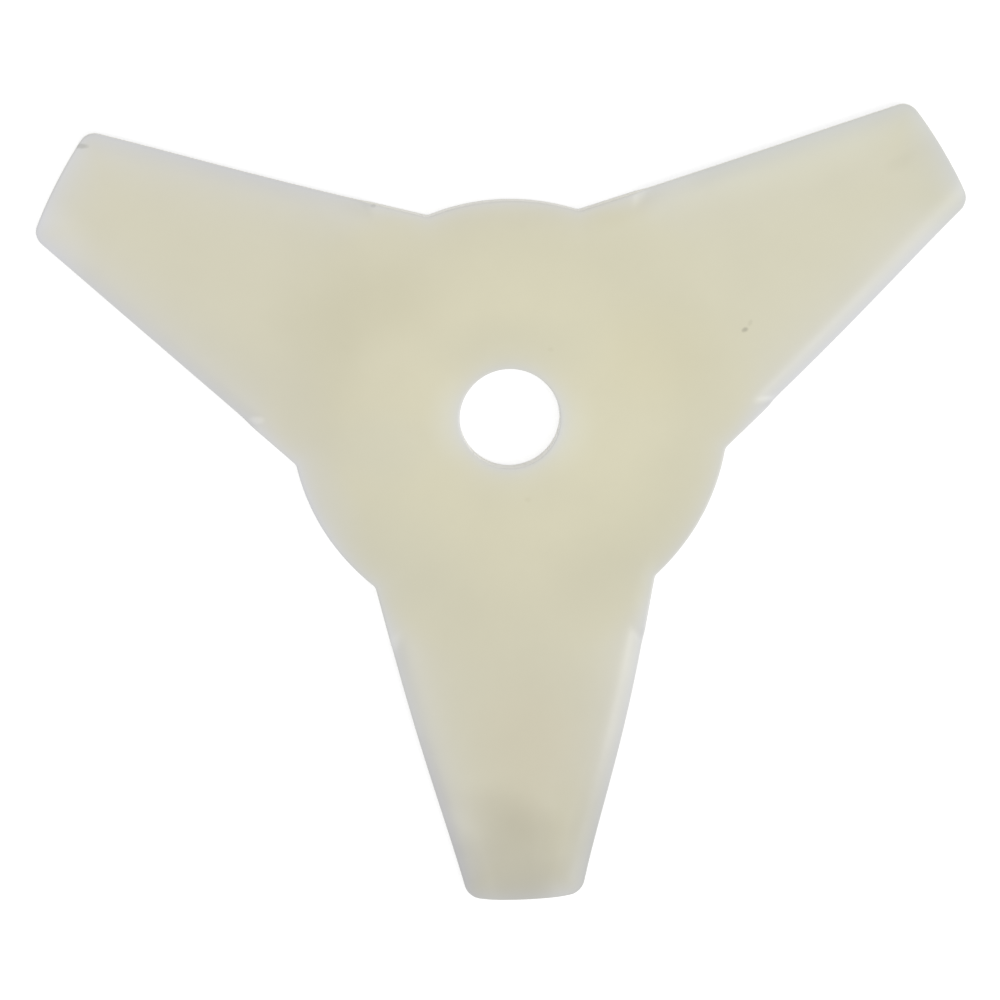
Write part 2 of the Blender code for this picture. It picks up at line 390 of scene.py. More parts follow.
def lifted(tree, flat):
    """The sheet raised to the upper face's height, with walls down to mid-thickness."""
    lift = add_node(tree, "ShaderNodeCombineXYZ")
    feed(tree, lift.inputs["Z"], rounded(tree, face_height))
    raised = add_node(tree, "GeometryNodeSetPosition")
    feed(tree, raised.inputs["Geometry"], flat)
    feed(tree, raised.inputs["Offset"], lift.outputs[0])
    on_rim = calc(tree, "LESS_THAN", stored_rim_distance(tree), ON_RIM)
    wall = add_node(tree, "GeometryNodeExtrudeMesh", mode="EDGES")
    feed(tree, wall.inputs["Mesh"], raised.outputs[0])
    feed(tree, wall.inputs["Selection"], on_rim)
    wall.inputs["Offset Scale"].default_value = 0.0
    position = add_node(tree, "GeometryNodeInputPosition").outputs[0]
    pressed = add_node(tree, "GeometryNodeSetPosition")
    feed(tree, pressed.inputs["Geometry"], wall.outputs["Mesh"])
    feed(tree, pressed.inputs["Selection"], wall.outputs["Top"])
    feed(tree, pressed.inputs["Position"], vector_calc(tree, "MULTIPLY", position, (1.0, 1.0, 0.0)))
    return pressed.outputs[0]


quarter = lifted(blade_tree, given["Geometry"])
print("nodes that lift a quarter of an arm:", len(blade_tree.nodes))

# %% [markdown]
# ## Mirror and repeat
# A mirror copy turns a surface inside out, so each copy's faces are flipped before it joins the
# first. Mirrored across the arm and then through mid-thickness, the quarter becomes a whole arm
# with its third of the hub, which is then set round the bore once for each arm. The copies are
# made real and their meeting points merged, so the blade ends as one closed shell.

# %% Build the tree: mirror, repeat and weld
WELD_DISTANCE = 1e-5


def with_mirror_image(tree, shape, scale):
    image = add_node(tree, "GeometryNodeTransform")
    feed(tree, image.inputs["Geometry"], shape)
    image.inputs["Scale"].default_value = scale
    turned = add_node(tree, "GeometryNodeFlipFaces")
    feed(tree, turned.inputs["Mesh"], image.outputs[0])
    both = add_node(tree, "GeometryNodeJoinGeometry")
    feed(tree, both.inputs[0], turned.outputs[0])
    feed(tree, both.inputs[0], shape)
    return both.outputs[0]


def repeated_round_bore(tree, arm):
    spots = add_node(tree, "GeometryNodeMeshLine")
    feed(tree, spots.inputs["Count"], given["Arms"])
    spots.inputs["Offset"].default_value = (0.0, 0.0, 0.0)
    step = calc(tree, "DIVIDE", 2 * math.pi, given["Arms"])
    number = add_node(tree, "GeometryNodeInputIndex").outputs[0]
    angle = calc(tree, "MULTIPLY_ADD", number, step, given["First Arm Angle"])
    turn = add_node(tree, "FunctionNodeAxisAngleToRotation")
    turn.inputs["Axis"].default_value = (0.0, 0.0, 1.0)
    feed(tree, turn.inputs["Angle"], angle)
    arms = add_node(tree, "GeometryNodeInstanceOnPoints")
    feed(tree, arms.inputs["Points"], spots.outputs[0])
    feed(tree, arms.inputs["Instance"], arm)
    feed(tree, arms.inputs["Rotation"], turn.outputs[0])
    return arms.outputs[0]


half_face = with_mirror_image(blade_tree, quarter, (1.0, -1.0, 1.0))
whole_arm = with_mirror_image(blade_tree, half_face, (1.0, 1.0, -1.0))
real = add_node(blade_tree, "GeometryNodeRealizeInstances")
feed(blade_tree, real.inputs[0], repeated_round_bore(blade_tree, whole_arm))
welded = add_node(blade_tree, "GeometryNodeMergeByDistance")
feed(blade_tree, welded.inputs["Geometry"], real.outputs[0])
welded.inputs["Distance"].default_value = WELD_DISTANCE
smooth = add_node(blade_tree, "GeometryNodeSetShadeSmooth")
feed(blade_tree, smooth.inputs["Geometry"], welded.outputs[0])
finished = add_node(blade_tree, "GeometryNodeSetMaterial")
feed(blade_tree, finished.inputs["Geometry"], smooth.outputs[0])
feed(blade_tree, finished.inputs["Material"], given["Material"])
feed(blade_tree, made["Geometry"], finished.outputs[0])
print("nodes in the blade's tree:", len(blade_tree.nodes))

# %% [markdown]
# ## Run the tree and keep a plain mesh
# The modifier's inputs are set by their identifiers before anything is evaluated. The result is
# then copied into a mesh of its own, because the piece has to stand without its modifier.
# A closed shell has every edge between two faces, and its volume is positive when its faces point
# outwards, so both are measured.

# %% Make the blade
nylon = bpy.data.materials.new("ivory_nylon")
nylon.use_nodes = True
blade_sizes = {
    "Thickness": THICKNESS * MM,
    "Edge Land": EDGE_LAND * MM,
    "Bevel Width": BEVEL_WIDTH * MM,
    "Bevel Softness": BEVEL_SOFTNESS * MM,
    "Tip Softening": TIP_SOFTENING,
    "Shoulder Softness": SHOULDER_SOFTNESS * MM,
    "Rim Radius": RIM_RADIUS * MM,
    "Shoulder Corner": tuple(shoulder_corner.to_3d() * MM),
    "Edge Direction": tuple(edge_direction.to_3d()),
    "Shoulder Slant": math.radians(SHOULDER_SLANT),
    "Shoulder Lean": math.radians(SHOULDER_LEAN),
    "Arms": ARM_COUNT,
    "First Arm Angle": math.radians(FIRST_ARM_ANGLE),
    "Material": nylon,
}


def run_tree(source, tree, values, name):
    """Runs a Geometry Nodes tree on an object and returns the result as a plain new object."""
    modifier = source.modifiers.new(tree.name, "NODES")
    modifier.node_group = tree
    for item in tree.interface.items_tree:
        if item.item_type == "SOCKET" and item.in_out == "INPUT" and item.name in values:
            modifier[item.identifier] = values[item.name]
    bpy.context.view_layer.update()
    evaluated = source.evaluated_get(bpy.context.evaluated_depsgraph_get())
    mesh = bpy.data.meshes.new_from_object(evaluated)
    bpy.data.objects.remove(source)
    mesh.name = name
    piece = bpy.data.objects.new(name, mesh)
    bpy.context.scene.collection.objects.link(piece)
    return piece


blade = run_tree(sheet, blade_tree, blade_sizes, "moulded_blade")


def closed_volume(mesh):
    """Volume in mm3, counted from the faces' own directions."""
    mesh.calc_loop_triangles()
    total = 0.0
    for triangle in mesh.loop_triangles:
        a, b, c = (mesh.vertices[i].co for i in triangle.vertices)
        total += a.dot(b.cross(c)) / 6
    return total / MM ** 3


faces_at_edge = [0] * len(blade.data.edges)
for loop in blade.data.loops:
    faces_at_edge[loop.edge_index] += 1
print("blade:", len(blade.data.polygons), "faces, volume",
      round(closed_volume(blade.data)), "mm3, edges not between two faces:",
      sum(1 for count in faces_at_edge if count != 2))

# %% [markdown]
# ## An uneven moulding
# The real blade's arms aren't quite alike. The lower arm's edges swell outwards by up to a
# millimetre and a quarter between root and tip, and the other edges bend by less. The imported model
# keeps every edge straight, and only this surface follows. Points slide sideways in proportion to
# their distance from the arm's centre line, so the bevel keeps its width, and the swell fades out
# before the hub and the tips, which stay where they are.

# %% Let the edges swell
# An arm's direction in degrees, then the swell of its left and right edges, seen from the hub, in mm
EDGE_SWELL = {-90.0: (1.3, 0.75), 30.0: (-0.15, 0.6), 150.0: (0.0, -0.4)}
SWELL_MIDDLE = 36.0  # distance along an edge from its root
SWELL_REACH = 46.0


def swollen(point, direction, left, right):
    """A point of the plan, in mm, moved sideways for the arm that points in this direction."""
    to_world = Matrix.Rotation(math.radians(direction), 2)
    local = to_world.transposed() @ point
    half_width = edge_root.y + (local.x - edge_root.x) * edge_direction.y / edge_direction.x
    along = (Vector((local.x, abs(local.y))) - edge_root).dot(edge_direction)
    place = (along - SWELL_MIDDLE) / SWELL_REACH
    if local.x > 0 and abs(place) < 1:
        local.y += (left if local.y > 0 else right) * (1 - place ** 2) ** 2 * local.y / half_width
    return to_world @ local


for vertex in blade.data.vertices:
    plan_point = vertex.co.xy / MM
    for direction, (left, right) in EDGE_SWELL.items():
        plan_point = swollen(plan_point, direction, left, right)
    vertex.co.xy = plan_point * MM
blade.data.update()
print("volume with swollen edges:", round(closed_volume(blade.data)), "mm3")

# %% [markdown]
# ## Shader groups for nylon
# Raw nylon is ivory where it is thick and nearly white where it is thin or where light leaks out
# of a free edge. So its colour follows the stored distance from the rim, and fades like real
# scattered light, by an exponential. Small helpers mix colours and make noise and ramps first.

# %% Make the colour helpers
def mix_colour(tree, share, first, second, blend="MIX"):
    node = add_node(tree, "ShaderNodeMix", data_type="RGBA", blend_type=blend)
    feed(tree, node.inputs[0], share)
    feed(tree, node.inputs[6], first)
    feed(tree, node.inputs[7], second)
    return node.outputs[2]


def noise(tree, position, scale, detail=2.0, roughness=0.5):
    node = add_node(tree, "ShaderNodeTexNoise")
    feed(tree, node.inputs["Vector"], position)
    node.inputs["Scale"].default_value = scale
    node.inputs["Detail"].default_value = detail
    node.inputs["Roughness"].default_value = roughness
    return node.outputs[0]


def ramp(tree, value, stops):
    """A smooth ramp of greys. Stops are pairs of place and level."""
    node = add_node(tree, "ShaderNodeValToRGB")
    node.color_ramp.interpolation = "B_SPLINE"
    elements = node.color_ramp.elements
    while len(elements) < len(stops):
        elements.new(0.5)
    for element, (place, level) in zip(elements, stops):
        element.position = place
        element.color = (level, level, level, 1.0)
    feed(tree, node.inputs[0], value)
    return node.outputs[0]


print("helpers: mix_colour, noise, ramp")

# %% [markdown]
# The hub was nearest the gate of the mould, and it cooled slowest. It is a little yellower than
# the arms. A soft darker ring round it is painted shade. A colour ramp over the distance from the
# bore's axis draws both, which is easier to tune than several overlaid spheres.

# %% Group: rings round the bore
WANDER = 6.0  # how far the rings' borders stray, in mm
ARM_START = BEVEL_START + 4.0  # from here outwards the colours are an arm's
HUB_TO_ARM = [(0.3, 0.0), (0.55, 1.0)]  # places are shares of the outer radius
# painted shade: these levels darken a soft ring round the hub
RING_SHADE_LEVELS = [(0.10, 1.0), (0.16, 0.985), (0.26, 0.975), (0.32, 0.962), (0.37, 0.942),
               (0.42, 0.948), (0.46, 0.962), (0.9, 0.962)]
ring_tree, given, made = new_group("hub_rings", "ShaderNodeTree", [
    ("Position", "NodeSocketVector", None),
    ("Hub Colour", "NodeSocketColor", (0.6, 0.6, 0.45, 1.0)),
    ("Arm Colour", "NodeSocketColor", (0.6, 0.6, 0.5, 1.0)),
], [("Colour", "NodeSocketColor"), ("Arm Share", "NodeSocketFloat")])
plan = vector_calc(ring_tree, "MULTIPLY", given["Position"], (1.0, 1.0, 0.0))
radius = vector_calc(ring_tree, "LENGTH", plan)
wander = calc(ring_tree, "MULTIPLY_ADD", noise(ring_tree, given["Position"], 0.03), WANDER, -WANDER / 2)
wavy = calc(ring_tree, "DIVIDE", calc(ring_tree, "ADD", radius, wander), OUTER_RADIUS)
to_arm = ramp(ring_tree, wavy, HUB_TO_ARM)
base = mix_colour(ring_tree, to_arm, given["Hub Colour"], given["Arm Colour"])
# the ring of painted shade, multiplied over the hub and arm colours
level = ramp(ring_tree, wavy, RING_SHADE_LEVELS)
feed(ring_tree, made["Colour"], mix_colour(ring_tree, 1.0, base, level, "MULTIPLY"))
on_arm = add_node(ring_tree, "ShaderNodeMapRange", interpolation_type="SMOOTHSTEP")
feed(ring_tree, on_arm.inputs["Value"], radius)
on_arm.inputs["From Min"].default_value = HUB_RADIUS
on_arm.inputs["From Max"].default_value = ARM_START
feed(ring_tree, made["Arm Share"], on_arm.outputs[0])
print("hub_rings:", len(ring_tree.nodes), "nodes")

# %% [markdown]
# The hub's edge is full thickness, so its pale seam is narrow. The arms thin out to a cutting
# edge, so theirs is wider and nearly neutral. The group takes both and changes from one to the
# other by the share of arm. The rounded rim itself gets a fine line of painted shade, and the wall
# below it glows paler, because light that enters the face leaves there.

# %% Group: colour by distance from the rim
WALL_GLOW_REACH = 0.12  # how far round the rim the wall's paler tone reaches
rim_tree, given, made = new_group("paler_towards_rims", "ShaderNodeTree", [
    ("Rim Distance", "NodeSocketFloat", 10.0),
    ("Arm Share", "NodeSocketFloat", 0.0),
    ("Hub Reach", "NodeSocketFloat", 2.0),
    ("Arm Reach", "NodeSocketFloat", 5.0),
    ("Body Colour", "NodeSocketColor", (0.6, 0.6, 0.5, 1.0)),
    ("Hub Rim Colour", "NodeSocketColor", (0.6, 0.6, 0.55, 1.0)),
    ("Arm Rim Colour", "NodeSocketColor", (0.6, 0.6, 0.6, 1.0)),
    ("Wall Colour", "NodeSocketColor", (0.8, 0.8, 0.8, 1.0)),
    ("Line Depth", "NodeSocketFloat", 0.05),
    ("Line Width", "NodeSocketFloat", 0.3),
], [("Colour", "NodeSocketColor")])
wider = calc(rim_tree, "SUBTRACT", given["Arm Reach"], given["Hub Reach"])
reach = calc(rim_tree, "MULTIPLY_ADD", given["Arm Share"], wider, given["Hub Reach"])
fade = calc(rim_tree, "DIVIDE", given["Rim Distance"], reach)
fade = calc(rim_tree, "EXPONENT", calc(rim_tree, "MULTIPLY", fade, -1.0))
rim_colour = mix_colour(rim_tree, given["Arm Share"], given["Hub Rim Colour"], given["Arm Rim Colour"])
face_colour = mix_colour(rim_tree, fade, given["Body Colour"], rim_colour)
# painted shade: a fine darker line along the rounded rim
line = calc(rim_tree, "EXPONENT", calc(rim_tree, "DIVIDE", given["Rim Distance"],
                                       calc(rim_tree, "MULTIPLY", given["Line Width"], -1.0)))
line = calc(rim_tree, "MULTIPLY", line, given["Line Depth"])
face_colour = mix_colour(rim_tree, line, face_colour, (0.0, 0.0, 0.0, 1.0))
on_wall = calc(rim_tree, "EXPONENT", calc(rim_tree, "DIVIDE", given["Rim Distance"], -WALL_GLOW_REACH))
feed(rim_tree, made["Colour"], mix_colour(rim_tree, on_wall, face_colour, given["Wall Colour"]))
print("paler_towards_rims:", len(rim_tree.nodes), "nodes")

# %% [markdown]
# Stains, specks, cloudy places, painted shade and painted highlights are all one kind of thing: a
# soft spot with a centre, a size, a turn and a ragged border. One group makes them all, and only
# its values differ. It marks one face of the blade, so a speck on the top doesn't show on the
# underside.

# %% Group: a soft spot on the upper face
spot_tree, given, made = new_group("soft_spot", "ShaderNodeTree", [
    ("Position", "NodeSocketVector", None),
    ("Centre", "NodeSocketVector", None),
    ("Size", "NodeSocketVector", (1.0, 1.0, 1.0)),
    ("Turn", "NodeSocketFloat", 0.0),
    ("Softness", "NodeSocketFloat", 0.5),
    ("Ragged", "NodeSocketFloat", 0.2),
    ("Ragged Scale", "NodeSocketFloat", 0.1),
], [("Mask", "NodeSocketFloat")])
offset = vector_calc(spot_tree, "SUBTRACT", given["Position"], given["Centre"])
turned = add_node(spot_tree, "ShaderNodeVectorRotate", rotation_type="Z_AXIS")
feed(spot_tree, turned.inputs["Vector"], vector_calc(spot_tree, "MULTIPLY", offset, (1.0, 1.0, 0.0)))
feed(spot_tree, turned.inputs["Angle"], calc(spot_tree, "MULTIPLY", given["Turn"], -1.0))
reach = vector_calc(spot_tree, "LENGTH", vector_calc(spot_tree, "DIVIDE", turned.outputs[0], given["Size"]))
ragged = add_node(spot_tree, "ShaderNodeTexNoise")
feed(spot_tree, ragged.inputs["Vector"], given["Position"])
feed(spot_tree, ragged.inputs["Scale"], given["Ragged Scale"])
wobble = calc(spot_tree, "MULTIPLY", calc(spot_tree, "SUBTRACT", ragged.outputs[0], 0.5), given["Ragged"])
reach = calc(spot_tree, "ADD", reach, calc(spot_tree, "MULTIPLY", wobble, 2.0))
fall = add_node(spot_tree, "ShaderNodeMapRange", interpolation_type="SMOOTHSTEP")
feed(spot_tree, fall.inputs["Value"], reach)
feed(spot_tree, fall.inputs["From Min"], calc(spot_tree, "SUBTRACT", 1.0, given["Softness"]))
feed(spot_tree, fall.inputs["From Max"], calc(spot_tree, "ADD", 1.0, given["Softness"]))
fall.inputs["To Min"].default_value = 1.0
fall.inputs["To Max"].default_value = 0.0
height = add_node(spot_tree, "ShaderNodeSeparateXYZ")
feed(spot_tree, height.inputs[0], given["Position"])
is_top = calc(spot_tree, "GREATER_THAN", height.outputs["Z"], 0.0)
feed(spot_tree, made["Mask"], calc(spot_tree, "MULTIPLY", fall.outputs[0], is_top))
print("soft_spot:", len(spot_tree.nodes), "nodes")

# %% [markdown]
# The mould's polished steel leaves a satin skin with faint ripples where the nylon shrank, and
# handling adds very fine scuffs. The ripples are wide and shallow, the grain is under a
# millimetre, and both also change the gloss a little.

# %% Group: the moulded skin
CLOUD_TONE, FLECK_TONE = 4.0, 0.8  # how much each adds to the tone, before Cloudiness scales both
RIPPLE_GLOSS, GRAIN_GLOSS = 0.25, 0.08
RIPPLE_HEIGHT, GRAIN_HEIGHT = 3.0, 0.25
skin_tree, given, made = new_group("moulded_skin", "ShaderNodeTree", [
    ("Position", "NodeSocketVector", None),
    ("Colour", "NodeSocketColor", (0.6, 0.6, 0.5, 1.0)),
    ("Cloudiness", "NodeSocketFloat", 0.03),
    ("Gloss", "NodeSocketFloat", 0.36),
], [("Colour", "NodeSocketColor"), ("Roughness", "NodeSocketFloat"), ("Height", "NodeSocketFloat")])
clouds = noise(skin_tree, given["Position"], scale=0.045, detail=3.0, roughness=0.55)
flecks = noise(skin_tree, given["Position"], scale=0.35)
ripples = noise(skin_tree, given["Position"], scale=0.09, detail=3.0)
grain = noise(skin_tree, given["Position"], scale=1.6, detail=3.0, roughness=0.6)
tone = calc(skin_tree, "MULTIPLY", calc(skin_tree, "SUBTRACT", clouds, 0.5), CLOUD_TONE)
tone = calc(skin_tree, "MULTIPLY_ADD", calc(skin_tree, "SUBTRACT", flecks, 0.5), FLECK_TONE, tone)
tone = calc(skin_tree, "MULTIPLY_ADD", tone, given["Cloudiness"], 1.0)
shade = add_node(skin_tree, "ShaderNodeCombineXYZ")
for channel in range(3):
    feed(skin_tree, shade.inputs[channel], tone)
feed(skin_tree, made["Colour"], mix_colour(skin_tree, 1.0, given["Colour"], shade.outputs[0], "MULTIPLY"))
uneven = calc(skin_tree, "SUBTRACT", ripples, 0.5)
gloss = calc(skin_tree, "MULTIPLY_ADD", uneven, RIPPLE_GLOSS, given["Gloss"])
gloss = calc(skin_tree, "MULTIPLY_ADD", calc(skin_tree, "SUBTRACT", grain, 0.5), GRAIN_GLOSS, gloss)
feed(skin_tree, made["Roughness"], gloss)
fine_height = calc(skin_tree, "MULTIPLY", grain, GRAIN_HEIGHT)
feed(skin_tree, made["Height"], calc(skin_tree, "MULTIPLY_ADD", ripples, RIPPLE_HEIGHT, fine_height))
print("moulded_skin:", len(skin_tree.nodes), "nodes")

# %% [markdown]
# ## Colours and marks
# The real blade isn't one even ivory. It has duller, paler and yellower places, a dark nick at
# the left tip and a few specks, and the lower arm is darker towards its tip. Some marks are painted
# light instead: painted shade on the left side, round the hub, on the left arm's lower bevel and on
# the lower arm's right bevel, a painted shadow along the lower arm's left rim, and painted
# highlights and painted light on several bevels and shoulders. Most of them are faint, and a large
# image could hold them all, but named marks stay sharp from near by and are easy to change. Each
# has a place, half sizes and a turn, and a tint that multiplies the colour under it.

# %% Name the colours and the marks
def linear(*levels):
    """A colour given as it shows on a screen, 0 to 255, as linear light."""
    shares = [level / 255 for level in levels]
    return tuple(v / 12.92 if v <= 0.04045 else ((v + 0.055) / 1.055) ** 2.4 for v in shares) + (1.0,)


ARM_COLOUR = linear(214.8, 211.3, 187.5)
HUB_COLOUR = linear(215.8, 211.3, 183.5)
HUB_RIM_COLOUR = linear(211, 211, 207)
ARM_RIM_COLOUR = linear(211, 212, 213)
WALL_COLOUR = linear(240, 238, 229)


def mark(centre, half_sizes, turn, tint, soft=0.7, ragged=0.2, scale=0.1):
    """A mark's values for the soft spot group, from mm and degrees, and its tint."""
    spot = dict(Centre=(*centre, 0.0), Size=(*half_sizes, 1.0), Turn=math.radians(turn),
                Softness=soft, Ragged=ragged, Ragged_Scale=scale)
    return spot, (*tint, 1.0)


def speck(centre, half_sizes, turn, tint):
    """A small mark with a firmer and finely ragged border."""
    return mark(centre, half_sizes, turn, tint, soft=0.6, ragged=0.3, scale=1.0)


MARKS = {
    # painted shade: the left side of the blade darker than the right
    "shaded_left_side": mark((-72, 30), (64, 60), -30, (0.980, 0.975, 0.985),
                             soft=0.5, ragged=0.1, scale=0.02),
    # painted shade: the lower part of the darker ring round the hub
    "shaded_low_hub": mark((-6, -48), (48, 22), 0, (0.970, 0.968, 0.975), soft=0.6, scale=0.04),
    # painted shade: a darker patch left of the hub
    "shaded_patch_left": mark((-47, 22), (10, 27), 0, (0.968, 0.968, 0.963),
                            soft=0.6, ragged=0.3, scale=0.06),
    "dull_streak_left": mark((-34, 30), (15, 9), 12, (0.970, 0.968, 0.950), ragged=0.3, scale=0.06),
    "pale_hub_edge_left": mark((-48, -20), (6, 14), 20, (0.995, 1.005, 1.070), ragged=0.3, scale=0.06),
    "dull_over_bore": mark((1, 18), (17, 7), 0, (0.955, 0.960, 0.970), scale=0.05),
    "dull_under_bore": mark((0, -18), (17, 7), 0, (0.970, 0.972, 0.980), scale=0.05),
    # the lower arm darker towards its tip
    "darker_lower_arm": mark((0, -97), (31, 34), 0, (0.930, 0.925, 0.925),
                              soft=0.6, ragged=0.3, scale=0.04),
    "warm_patch_low": mark((2, -86), (12, 16), 0, (0.985, 0.968, 0.965), ragged=0.3, scale=0.06),
    # darker still over the end of the lower tip
    "darker_lower_tip": mark((-2.5, -119), (10.4, 16.5), 8, (0.842, 0.835, 0.836),
                               soft=0.65, ragged=0.25, scale=0.08),
    "duller_above_lower_tip": mark((-4, -104), (13, 4.8), -20, (0.955, 0.950, 0.948), ragged=0.3),
    # painted shadow: grey at the lower tip's left corner
    "shadow_low_left_corner": mark((-15.8, -119), (4, 11), 13.7, (0.908, 0.908, 0.910), ragged=0.3),
    "yellow_end_of_tip": mark((-2, -127), (10, 8), 0, (0.940, 0.935, 0.885)),
    # painted shadow: grey along the lower arm's left rim
    "shadow_rim_low_left": mark((-20.1, -106), (2.2, 22), 13.7, (0.935, 0.930, 0.950), ragged=0.3, scale=0.2),
    # painted shade: dims the lower arm's right bevel towards the tip, where its sheen fades
    "shaded_bevel_low_right": mark((14.6, -122.5), (4.2, 28), -13.7, (0.848, 0.850, 0.832)),
    "yellower_low_right": mark((12.5, -107), (5, 13), -13.7, (0.972, 0.966, 0.930)),
    # painted light and a yellower tone on the right arm's upper bevel
    "lit_ivory_rim_right": mark((86, 72), (50, 9), 17, (1.040, 1.045, 1.005), soft=0.6, scale=0.05),
    "ivory_rim_right_tip": mark((112, 53), (8, 16), 30, (0.958, 0.962, 0.934), soft=0.6, scale=0.05),
    "pale_left_of_bore": mark((-15, 0), (4.5, 8), 0, (1.025, 1.040, 1.085)),
    "pale_right_of_bore": mark((14, -3), (6, 8), 0, (1.015, 1.030, 1.070)),
    "greener_low_left": mark((-34, -34), (22, 15), -45, (0.965, 0.973, 0.992), scale=0.05),
    "duller_low_right": mark((33, -32), (19, 14), 45, (0.968, 0.970, 0.965), scale=0.05),
    # painted highlights at the inner corners of two shoulders
    "highlight_at_shoulder_right": mark((64.0, 2.3), (1.9, 0.9), 3, (1.060, 1.060, 1.050), ragged=0.3, scale=0.5),
    "highlight_at_shoulder_left": mark((-63.9, 2.2), (1.7, 0.9), -3, (1.130, 1.130, 1.140), ragged=0.3, scale=0.5),
    "pale_corner_left": mark((-111, 50), (8, 6), -40, (1.040, 1.045, 1.085)),
    # painted highlight on the lower arm's right bevel below its shoulder
    "highlight_bevel_low_right": mark((29.2, -62.5), (2.4, 7), -13.7, (1.035, 1.038, 1.030), scale=0.2),
    "pale_root_low_right": mark((33.6, -46), (2.4, 7), -13.7, (1.040, 1.045, 1.045), scale=0.2),
    # painted light on the upper bevels next to their shoulders
    "lit_bevel_over_right": mark((41, 57), (8, 2.2), 16, (1.045, 1.040, 1.030), scale=0.2),
    "lit_bevel_over_left": mark((-42, 57.2), (10, 2.2), -16, (1.030, 1.028, 1.020), scale=0.2),
    "pale_bevel_right": mark((83, 20), (34, 3), 43.8, (1.000, 1.007, 1.040)),
    "duller_right_tip": mark((102, 66.5), (9, 6), -30, (0.980, 0.975, 0.955)),
    "duller_top_of_hub": mark((7, 53), (24, 4), 0, (0.978, 0.972, 0.968)),
    "ivory_root_left": mark((-32, 54), (8, 3), -16, (0.985, 0.980, 0.945)),
    "grey_left_of_bore": mark((-33, -6), (13, 8), 0, (0.975, 0.985, 1.015), scale=0.05),
    "warm_right_of_bore": mark((38, 15), (13, 12), 0, (1.000, 0.992, 0.962), scale=0.05),
    "ivory_root_right": mark((29, 52), (9, 3.5), 16, (0.975, 0.965, 0.930)),
    # painted shade on the left arm's lower bevel, which faces away from the lamp
    "shaded_low_edge_left": mark((-69, 13), (22, 8), -43.8, (0.972, 0.974, 0.978), scale=0.05),
    "bluer_left_hub": mark((-53, 0), (8, 17), 10, (0.987, 0.992, 1.030), scale=0.05),
    "black_speck": speck((59.9, 20.5), (0.75, 0.55), 20, (0.710, 0.710, 0.710)),
    "faint_speck": speck((61.2, 22.2), (0.8, 0.5), 60, (0.920, 0.920, 0.910)),
    "nick_on_tip": speck((-103.7, 72.7), (1.6, 0.55), -3, (0.790, 0.790, 0.770)),
    "spot_near_edge": speck((-32.3, 55.2), (0.6, 0.4), 0, (0.850, 0.850, 0.850)),
    "smudge_right": mark((99.3, 61.2), (3.5, 1.6), 30, (0.972, 0.972, 0.968), ragged=0.5, scale=0.4),
    "dot_over_bore": speck((10.8, 17.4), (0.7, 0.5), 0, (0.960, 0.955, 0.940)),
    "dot_under_bore": speck((3.8, -21.0), (0.8, 0.6), 0, (0.960, 0.955, 0.940)),
}
print("marks:", len(MARKS))

# %% [markdown]
# ## The nylon
# The groups are placed in one material. Positions are the object's own, in millimetres, so no
# pattern slides when the view changes. The marks come after the rims, because a stain lies on the
# pale edge too, and the skin comes last.

# %% Assemble the material
TO_MM = (1000.0, 1000.0, 1000.0)
SKIN_DEPTH = 0.02 * MM  # of relief where the height is 1


def group_node(tree, group, **values):
    node = add_node(tree, "ShaderNodeGroup", node_tree=group)
    for title, value in values.items():
        feed(tree, node.inputs[title.replace("_", " ")], value)
    return node.outputs


def marked(tree, position, colour, marks):
    """The colour with every mark laid on it, one after another."""
    for spot, tint in marks.values():
        mask = group_node(tree, spot_tree, Position=position, **spot)["Mask"]
        colour = mix_colour(tree, mask, colour, tint, "MULTIPLY")
    return colour


shading = nylon.node_tree
shader = shading.nodes["Principled BSDF"]
place = add_node(shading, "ShaderNodeTexCoord").outputs["Object"]
position = vector_calc(shading, "MULTIPLY", place, TO_MM)
from_rim = add_node(shading, "ShaderNodeAttribute", attribute_name="rim_distance").outputs["Fac"]
from_rim = calc(shading, "MULTIPLY", from_rim, TO_MM[0])
rings = group_node(shading, ring_tree, Position=position, Hub_Colour=HUB_COLOUR, Arm_Colour=ARM_COLOUR)
edged = group_node(shading, rim_tree, Rim_Distance=from_rim, Arm_Share=rings["Arm Share"], Hub_Reach=2.3,
                   Arm_Reach=5.0, Body_Colour=rings["Colour"], Hub_Rim_Colour=HUB_RIM_COLOUR,
                   Arm_Rim_Colour=ARM_RIM_COLOUR, Wall_Colour=WALL_COLOUR, Line_Depth=0.03,
                   Line_Width=0.3)["Colour"]
stained = marked(shading, position, edged, MARKS)
skin = group_node(shading, skin_tree, Position=position, Colour=stained, Cloudiness=0.012, Gloss=0.39)
feed(shading, shader.inputs["Base Color"], skin["Colour"])
feed(shading, shader.inputs["Roughness"], skin["Roughness"])
shader.inputs["IOR"].default_value = 1.53
bump = add_node(shading, "ShaderNodeBump")
bump.inputs["Strength"].default_value = 1.0
bump.inputs["Distance"].default_value = SKIN_DEPTH
feed(shading, bump.inputs["Height"], skin["Height"])
feed(shading, shader.inputs["Normal"], bump.outputs[0])
print("nylon:", len(shading.nodes), "nodes")

# %% [markdown]
# ## Put the blade in the frame
# The piece stands for the CAD solid of the same name, which is then hidden but stays the shape
# that collides. It rides on the only body there is.

# %% Take the solid's place
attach(blade, "root")
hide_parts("blade")
print("moulded_blade stands for the solid named blade")

# %% [markdown]
# ## Floor and light
# The blade lies flat, so the floor is at its underside. The photograph's background is pure
# white. A floor bright enough to show so by light alone would also light the blade's sides too
# much, so the floor reflects like pale card and adds a little light of its own for the camera
# only. Its shadow still shows. The world does the same: white to look at, but an even soft light.

# %% Make the floor and the world
FLOOR_REACH = 6.0  # metres from the blade to each side
FLOOR_GAP = 0.02  # keeps the floor just clear of the blade's underside
FLOOR_GREY = 0.52
FLOOR_GLOW = 0.64
AMBIENT = 0.85


